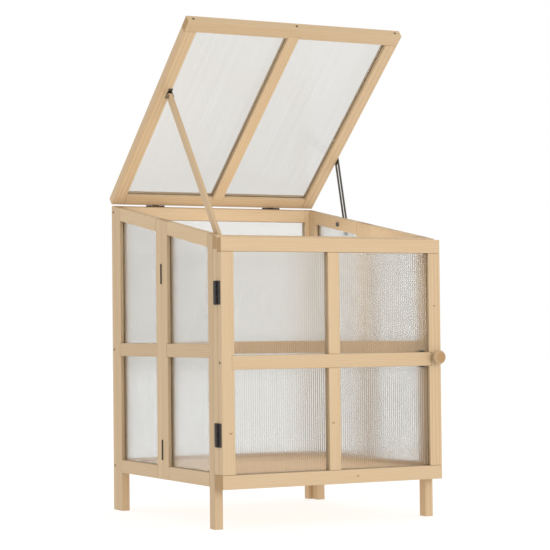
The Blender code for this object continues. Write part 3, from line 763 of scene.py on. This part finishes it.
# %% Fold hinges
FOLD_LONG = 48 * MM
FOLD_KNUCKLES = 5
FOLD_RADIUS = 2.0 * MM
FOLD_SOFT = 0.25 * MM
FOLD_OUT = 1.0 * MM
FOLD_Z = (0.166, 0.586)
seam_y = (corners("left_front_far_stile")[1].y + corners("left_rear_near_stile")[0].y) / 2
bm = bmesh.new()
high = FOLD_LONG / FOLD_KNUCKLES - KNUCKLE_GAP
rim = FOLD_RADIUS - FOLD_SOFT
profile = ((0, 0), (rim, 0), (FOLD_RADIUS, FOLD_SOFT), (FOLD_RADIUS, high - FOLD_SOFT), (rim, high),
           (0, high))
for x, side in ((LEFT, -1), (RIGHT, 1)):
    for z in FOLD_Z:
        for step in range(FOLD_KNUCKLES):
            foot = z + (step / FOLD_KNUCKLES - 0.5) * FOLD_LONG
            turned(bm, profile, Matrix.Translation((x + side * FOLD_OUT, seam_y, foot)), 20)
piece("fold_hinge_barrels", bm, stoved_black, "root", (), 30)
print("fold hinges at y", round(seam_y, 3))

# %% [markdown]
# ## Turned knob
# The knob is a small mushroom turned on a lathe, so half its outline is spun once round. Two rounds of
# subdivision smooth the few points of the outline. The grain runs along the spindle.

# %% Knob
knob_low, knob_high = corners("door_knob")
knob_radius = (knob_high.z - knob_low.z) / 2
knob_long = knob_high.y - knob_low.y
outline = ((0, 0), (0.50, 0.0), (0.52, 0.02), (0.46, 0.20), (0.50, 0.30), (0.72, 0.42), (0.95, 0.55),
           (1.0, 0.68), (0.93, 0.82), (0.66, 0.94), (0.30, 0.99), (0, 1.0))
knob_centre = Vector(((knob_low.x + knob_high.x) / 2, knob_high.y, (knob_low.z + knob_high.z) / 2))
bm = bmesh.new()
profile = [(knob_radius * across, knob_long * along) for across, along in outline]
turned(bm, profile, facing(knob_centre, (0, -1, 0)), 32)
knob = piece("turned_knob", bm, fir("knob", "y", 95, 0.0, 0.90), "door", ("door_knob",), 60)
smoother = knob.modifiers.new("smooth", "SUBSURF")
smoother.levels = 2
smoother.render_levels = 2
print(f"knob {2000 * knob_radius:.0f} mm across")

# %% [markdown]
# ## Wing nut
# Moulded in nylon: a collar, a short hub and two ears that lean outwards so that fingers find them.
# The ears start as boxes, are pushed outwards and get round edges.

# %% Wing nut
nut_low, nut_high = corners("wing_nut")
nut_centre = joint_place["wing_nut_turn"]
hub = ((2.9, 0.0), (8.3, 0.0), (8.5, 0.3), (8.5, 1.1), (8.2, 1.3), (6.2, 1.5), (5.4, 7.6), (4.9, 8.3),
       (3.0, 8.4), (2.9, 8.0), (2.9, 0.0))
EAR_FOOT, EAR_HALF, EAR_LONG = 2.0 * MM, 1.4 * MM, 17.2 * MM
EAR_RAKE, EAR_SHIFT, EAR_LEAN = 6.4 * MM, 2.8 * MM, 0.84
bm = bmesh.new()
profile = [(across * MM, along * MM) for across, along in hub]
turned(bm, profile, facing((nut_low.x, nut_centre.y, nut_centre.z), (1, 0, 0)), 36)
ear_high = nut_high.x - nut_low.x
for side in (-1, 1):
    verts = block(bm, (EAR_FOOT, -EAR_HALF, 0), (ear_high - EAR_RAKE - MM / 10, EAR_HALF, EAR_LONG))
    for vert in verts:
        tall = vert.co.x > 5 * MM
        outward = vert.co.z
        rake = (EAR_RAKE if outward > MM else 0) * (1 if tall else 0.8)
        vert.co = Vector((nut_low.x + vert.co.x + rake,
                          nut_centre.y + side * (EAR_SHIFT + outward * EAR_LEAN), nut_centre.z + vert.co.y))
    ears = list({edge for vert in verts for edge in vert.link_edges})
    bevel(bm, ears, 1.1 * MM, 3)
piece("wing_nut_moulding", bm, nylon, "wing_nut", ("wing_nut",), 50)
print("wing nut reaches", round(1000 * ear_high, 1), "mm")

# %% [markdown]
# ## Magnetic catch
# A small magnet in a plastic case holds the door shut. The case is screwed behind the right post of the
# ring, and a thin steel plate on the back of the door meets it.

# %% Magnetic catch
CASE_HALF, POLE_HALF, PLATE_HALF = 20 * MM, 15 * MM, 6 * MM
catch_z = rail_z
inner_x = corners("door_right_stile")[0].x
bm = bmesh.new()
case_low = (inner_x - 11 * MM, ring_low.y + 1.5 * MM, catch_z - CASE_HALF)
block(bm, case_low, (inner_x - 0.2 * MM, ring_high.y - 4 * MM, catch_z + CASE_HALF))
bevel(bm, bm.edges[:], 0.8 * MM, 2)
piece("catch_case", bm, nylon, "root", (), 50)
bm = bmesh.new()
for shift in (-1, 1):
    x = inner_x - 5.5 * MM + shift * 2.5 * MM
    pole_low = (x - 0.6 * MM, ring_low.y + 0.4 * MM, catch_z - POLE_HALF)
    block(bm, pole_low, (x + 0.6 * MM, ring_low.y + 6 * MM, catch_z + POLE_HALF))
piece("catch_poles", bm, zinc, "root", (), 50)
bm = bmesh.new()
back_y = corners("door_cross")[1].y
plate_low = (inner_x - 14 * MM, back_y + 0.02 * MM, catch_z - PLATE_HALF)
block(bm, plate_low, (inner_x - MM, back_y + 0.8 * MM, catch_z + PLATE_HALF))
bevel(bm, bm.edges[:], 0.25 * MM, 2)
piece("catch_plate", bm, zinc, "door", (), 50)
print("catch at", round(catch_z, 3))
